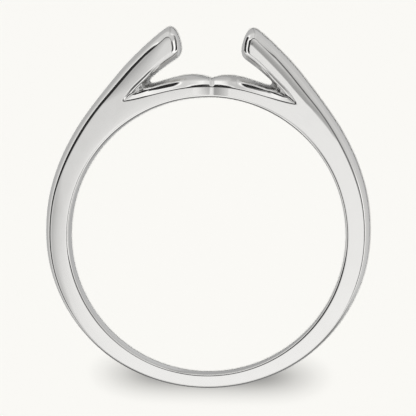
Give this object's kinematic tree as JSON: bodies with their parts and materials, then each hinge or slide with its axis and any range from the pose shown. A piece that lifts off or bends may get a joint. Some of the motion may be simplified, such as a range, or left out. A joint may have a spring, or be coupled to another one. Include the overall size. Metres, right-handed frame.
{
  "type": "semi-mount ring",
  "caption": "Semi-mount ring in one casting: domed shank, two cathedral arms that face each other and a bridge with a pinched notch for a setting.",
  "frame": {"origin": "centre of the finger hole, halfway across the ring's width", "axes": "+Z along the finger axis, +Y from the finger hole towards the setting, +X to the right as the picture shows it; the ring lies on its side, on its lowest Z"},
  "size_m": [0.0204, 0.0226, 0.0026],
  "materials": {
    "white_gold": "mirror polished"
  },
  "bodies": {
    "root": {"mounting": "white_gold"}
  },
  "joints": []
}
